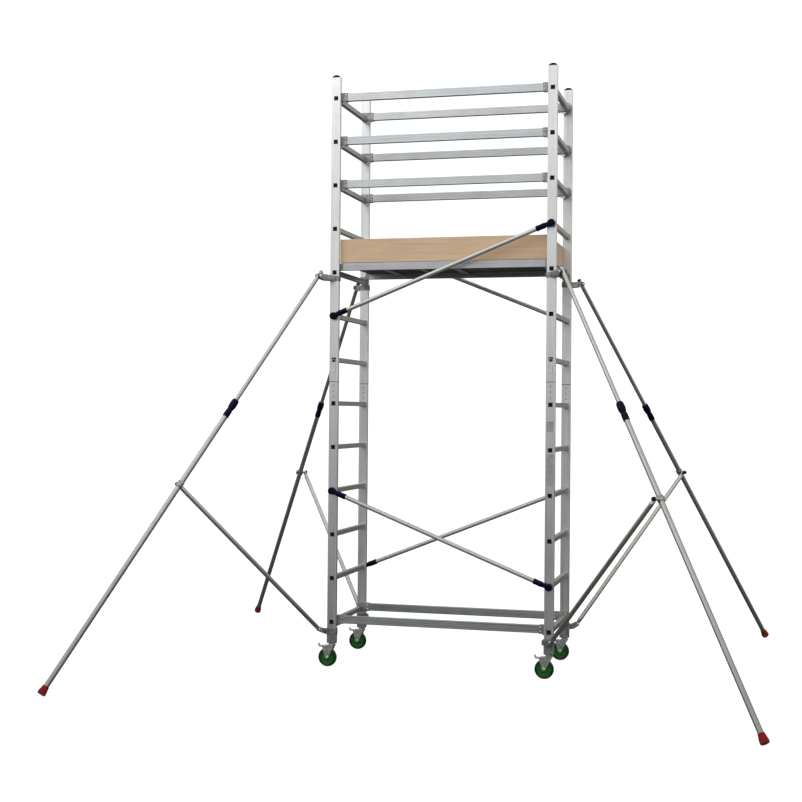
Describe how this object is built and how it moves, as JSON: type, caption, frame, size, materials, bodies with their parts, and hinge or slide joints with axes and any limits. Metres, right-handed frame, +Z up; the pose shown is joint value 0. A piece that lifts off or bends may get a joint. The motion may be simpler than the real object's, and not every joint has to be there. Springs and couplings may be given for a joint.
{
  "type": "mobile scaffold tower",
  "caption": "Aluminium mobile scaffold tower: stacked ladder frames on braked castors, hooked plywood platform with trapdoor and toe boards, guard rails, braces and telescopic stabiliser legs.",
  "frame": {"origin": "on the floor, under the middle of the bay", "axes": "+X along the bay (the longest way across the stabilisers), +Y across the bay, away from the front, +Z up"},
  "size_m": [4.0228, 3.4836, 3.7969],
  "materials": {
    "rail_aluminium": "mill-finish extruded, fine lengthwise streaks",
    "rung_aluminium": "mill-finish square tube",
    "bar_aluminium": "ribbed extrusion, satin",
    "tube_aluminium": "drawn round tube, satin",
    "cast_alloy": "sand-cast, dull grey",
    "zinc_steel": "zinc plated",
    "black_plastic": "moulded",
    "blue_plastic": "moulded, navy",
    "red_rubber": "moulded",
    "green_rubber": "moulded wheel, slightly glossy",
    "toe_plywood": "sanded birch-type plywood",
    "film_plywood": "dark film-faced plywood, grit top"
  },
  "bodies": {
    "tower": {"frame_rails": "rail_aluminium", "frame_rungs": "rung_aluminium", "rung_plugs": "black_plastic", "rail_caps": "black_plastic", "rail_spigots": "rail_aluminium", "splice_rivets": "zinc_steel", "frame_locking_pins": "zinc_steel", "guard_rails": "bar_aluminium", "base_bars": "bar_aluminium", "bar_claws": "cast_alloy", "bar_latches": "zinc_steel", "diagonal_braces": "tube_aluminium", "brace_claws": "blue_plastic", "platform_side_beams": "bar_aluminium", "platform_cross_members": "bar_aluminium", "platform_board": "film_plywood", "platform_hooks": "cast_alloy", "toe_boards": "toe_plywood", "castor_stems": "cast_alloy", "top_brackets": "cast_alloy", "lower_brackets": "cast_alloy", "bracket_bolts": "zinc_steel"},
    "trapdoor": {"trapdoor_panel": "film_plywood", "trapdoor_hinges": "zinc_steel"},
    "castor_left_front": {"castor_fork_left_front": "zinc_steel"},
    "wheel_left_front": {"castor_wheel_left_front": "green_rubber"},
    "pedal_left_front": {"brake_pedal_left_front": "zinc_steel"},
    "leg_inner_left_front": {"leg_inner_left_front": "tube_aluminium"},
    "leg_outer_left_front": {"leg_outer_left_front": "tube_aluminium", "foot_left_front": "red_rubber", "strut_clamp_left_front": "cast_alloy"},
    "twist_lock_left_front": {"twist_lock_left_front": "blue_plastic"},
    "strut_left_front": {"strut_left_front": "tube_aluminium"},
    "castor_right_front": {"castor_fork_right_front": "zinc_steel"},
    "wheel_right_front": {"castor_wheel_right_front": "green_rubber"},
    "pedal_right_front": {"brake_pedal_right_front": "zinc_steel"},
    "leg_inner_right_front": {"leg_inner_right_front": "tube_aluminium"},
    "leg_outer_right_front": {"leg_outer_right_front": "tube_aluminium", "foot_right_front": "red_rubber", "strut_clamp_right_front": "cast_alloy"},
    "twist_lock_right_front": {"twist_lock_right_front": "blue_plastic"},
    "strut_right_front": {"strut_right_front": "tube_aluminium"},
    "castor_left_back": {"castor_fork_left_back": "zinc_steel"},
    "wheel_left_back": {"castor_wheel_left_back": "green_rubber"},
    "pedal_left_back": {"brake_pedal_left_back": "zinc_steel"},
    "leg_inner_left_back": {"leg_inner_left_back": "tube_aluminium"},
    "leg_outer_left_back": {"leg_outer_left_back": "tube_aluminium", "foot_left_back": "red_rubber", "strut_clamp_left_back": "cast_alloy"},
    "twist_lock_left_back": {"twist_lock_left_back": "blue_plastic"},
    "strut_left_back": {"strut_left_back": "tube_aluminium"},
    "castor_right_back": {"castor_fork_right_back": "zinc_steel"},
    "wheel_right_back": {"castor_wheel_right_back": "green_rubber"},
    "pedal_right_back": {"brake_pedal_right_back": "zinc_steel"},
    "leg_inner_right_back": {"leg_inner_right_back": "tube_aluminium"},
    "leg_outer_right_back": {"leg_outer_right_back": "tube_aluminium", "foot_right_back": "red_rubber", "strut_clamp_right_back": "cast_alloy"},
    "twist_lock_right_back": {"twist_lock_right_back": "blue_plastic"},
    "strut_right_back": {"strut_right_back": "tube_aluminium"}
  },
  "joints": [
    {"name": "trapdoor_hinge", "type": "hinge", "parent": "tower", "child": "trapdoor", "pos_m": [0.06, 0, 2.592], "axis": [0, -1, 0], "range_deg": [0, 95]},
    {"name": "castor_swivel_left_front", "type": "hinge", "parent": "tower", "child": "castor_left_front", "pos_m": [-0.7, -0.3375, 0.134], "axis": [0, 0, 1], "continuous": true},
    {"name": "wheel_spin_left_front", "type": "hinge", "parent": "castor_left_front", "child": "wheel_left_front", "pos_m": [-0.728, -0.3375, 0.06], "axis": [0, 1, 0], "continuous": true},
    {"name": "brake_pedal_left_front", "type": "hinge", "parent": "castor_left_front", "child": "pedal_left_front", "pos_m": [-0.746, -0.3375, 0.126], "axis": [0, -1, 0], "range_deg": [0, 10]},
    {"name": "leg_fold_left_front", "type": "hinge", "parent": "tower", "child": "leg_inner_left_front", "pos_m": [-0.78184, -0.42526, 2.5], "axis": [0.7314, -0.682, 0], "range_deg": [0, 30]},
    {"name": "leg_telescope_left_front", "type": "slide", "parent": "leg_inner_left_front", "child": "leg_outer_left_front", "axis": [0.3957, 0.4243, 0.8145], "range_m": [0, 0.7029]},
    {"name": "strut_fold_left_front", "type": "hinge", "parent": "tower", "child": "strut_left_front", "pos_m": [-0.77748, -0.3678, 0.24], "axis": [-0.7314, 0.682, 0], "range_deg": [0, 40.38]},
    {"name": "lock_twist_left_front", "type": "hinge", "parent": "leg_outer_left_front", "child": "twist_lock_left_front", "pos_m": [-1.19531, -0.86865, 1.64884], "axis": [-0.3957, -0.4243, -0.8145], "range_deg": [0, 90]},
    {"name": "castor_swivel_right_front", "type": "hinge", "parent": "tower", "child": "castor_right_front", "pos_m": [0.7, -0.3375, 0.134], "axis": [0, 0, 1], "continuous": true},
    {"name": "wheel_spin_right_front", "type": "hinge", "parent": "castor_right_front", "child": "wheel_right_front", "pos_m": [0.672, -0.3375, 0.06], "axis": [0, 1, 0], "continuous": true},
    {"name": "brake_pedal_right_front", "type": "hinge", "parent": "castor_right_front", "child": "pedal_right_front", "pos_m": [0.654, -0.3375, 0.126], "axis": [0, -1, 0], "range_deg": [0, 10]},
    {"name": "leg_fold_right_front", "type": "hinge", "parent": "tower", "child": "leg_inner_right_front", "pos_m": [0.78184, -0.42526, 2.5], "axis": [0.7314, 0.682, 0], "range_deg": [0, 30]},
    {"name": "leg_telescope_right_front", "type": "slide", "parent": "leg_inner_right_front", "child": "leg_outer_right_front", "axis": [-0.3957, 0.4243, 0.8145], "range_m": [0, 0.72]},
    {"name": "strut_fold_right_front", "type": "hinge", "parent": "tower", "child": "strut_right_front", "pos_m": [0.72482, -0.4169, 0.24], "axis": [-0.7314, -0.682, 0], "range_deg": [0, 41.19]},
    {"name": "lock_twist_right_front", "type": "hinge", "parent": "leg_outer_right_front", "child": "twist_lock_right_front", "pos_m": [1.19531, -0.86865, 1.64884], "axis": [0.3957, -0.4243, -0.8145], "range_deg": [0, 90]},
    {"name": "castor_swivel_left_back", "type": "hinge", "parent": "tower", "child": "castor_left_back", "pos_m": [-0.7, 0.3375, 0.134], "axis": [0, 0, 1], "continuous": true},
    {"name": "wheel_spin_left_back", "type": "hinge", "parent": "castor_left_back", "child": "wheel_left_back", "pos_m": [-0.728, 0.3375, 0.06], "axis": [0, 1, 0], "continuous": true},
    {"name": "brake_pedal_left_back", "type": "hinge", "parent": "castor_left_back", "child": "pedal_left_back", "pos_m": [-0.746, 0.3375, 0.126], "axis": [0, -1, 0], "range_deg": [0, 10]},
    {"name": "leg_fold_left_back", "type": "hinge", "parent": "tower", "child": "leg_inner_left_back", "pos_m": [-0.78184, 0.42526, 2.5], "axis": [-0.7314, -0.682, 0], "range_deg": [0, 30]},
    {"name": "leg_telescope_left_back", "type": "slide", "parent": "leg_inner_left_back", "child": "leg_outer_left_back", "axis": [0.3957, -0.4243, 0.8145], "range_m": [0, 0.72]},
    {"name": "strut_fold_left_back", "type": "hinge", "parent": "tower", "child": "strut_left_back", "pos_m": [-0.72482, 0.4169, 0.24], "axis": [0.7314, 0.682, 0], "range_deg": [0, 41.19]},
    {"name": "lock_twist_left_back", "type": "hinge", "parent": "leg_outer_left_back", "child": "twist_lock_left_back", "pos_m": [-1.19531, 0.86865, 1.64884], "axis": [-0.3957, 0.4243, -0.8145], "range_deg": [0, 90]},
    {"name": "castor_swivel_right_back", "type": "hinge", "parent": "tower", "child": "castor_right_back", "pos_m": [0.7, 0.3375, 0.134], "axis": [0, 0, 1], "continuous": true},
    {"name": "wheel_spin_right_back", "type": "hinge", "parent": "castor_right_back", "child": "wheel_right_back", "pos_m": [0.672, 0.3375, 0.06], "axis": [0, 1, 0], "continuous": true},
    {"name": "brake_pedal_right_back", "type": "hinge", "parent": "castor_right_back", "child": "pedal_right_back", "pos_m": [0.654, 0.3375, 0.126], "axis": [0, -1, 0], "range_deg": [0, 10]},
    {"name": "leg_fold_right_back", "type": "hinge", "parent": "tower", "child": "leg_inner_right_back", "pos_m": [0.78184, 0.42526, 2.5], "axis": [-0.7314, 0.682, 0], "range_deg": [0, 30]},
    {"name": "leg_telescope_right_back", "type": "slide", "parent": "leg_inner_right_back", "child": "leg_outer_right_back", "axis": [-0.3957, -0.4243, 0.8145], "range_m": [0, 0.6614]},
    {"name": "strut_fold_right_back", "type": "hinge", "parent": "tower", "child": "strut_right_back", "pos_m": [0.77748, 0.3678, 0.24], "axis": [0.7314, -0.682, 0], "range_deg": [0, 38.39]},
    {"name": "lock_twist_right_back", "type": "hinge", "parent": "leg_outer_right_back", "child": "twist_lock_right_back", "pos_m": [1.19531, 0.86865, 1.64884], "axis": [0.3957, 0.4243, -0.8145], "range_deg": [0, 90]}
  ],
  "couplings": [
    {"joint": "leg_telescope_left_front", "follows": "leg_fold_left_front", "m_per_rad": 1.3422},
    {"joint": "strut_fold_left_front", "follows": "leg_fold_left_front", "ratio": 1.3458},
    {"joint": "leg_telescope_right_front", "follows": "leg_fold_right_front", "m_per_rad": 1.3749},
    {"joint": "strut_fold_right_front", "follows": "leg_fold_right_front", "ratio": 1.3728},
    {"joint": "leg_telescope_left_back", "follows": "leg_fold_left_back", "m_per_rad": 1.3749},
    {"joint": "strut_fold_left_back", "follows": "leg_fold_left_back", "ratio": 1.3728},
    {"joint": "leg_telescope_right_back", "follows": "leg_fold_right_back", "m_per_rad": 1.2631},
    {"joint": "strut_fold_right_back", "follows": "leg_fold_right_back", "ratio": 1.2793}
  ]
}
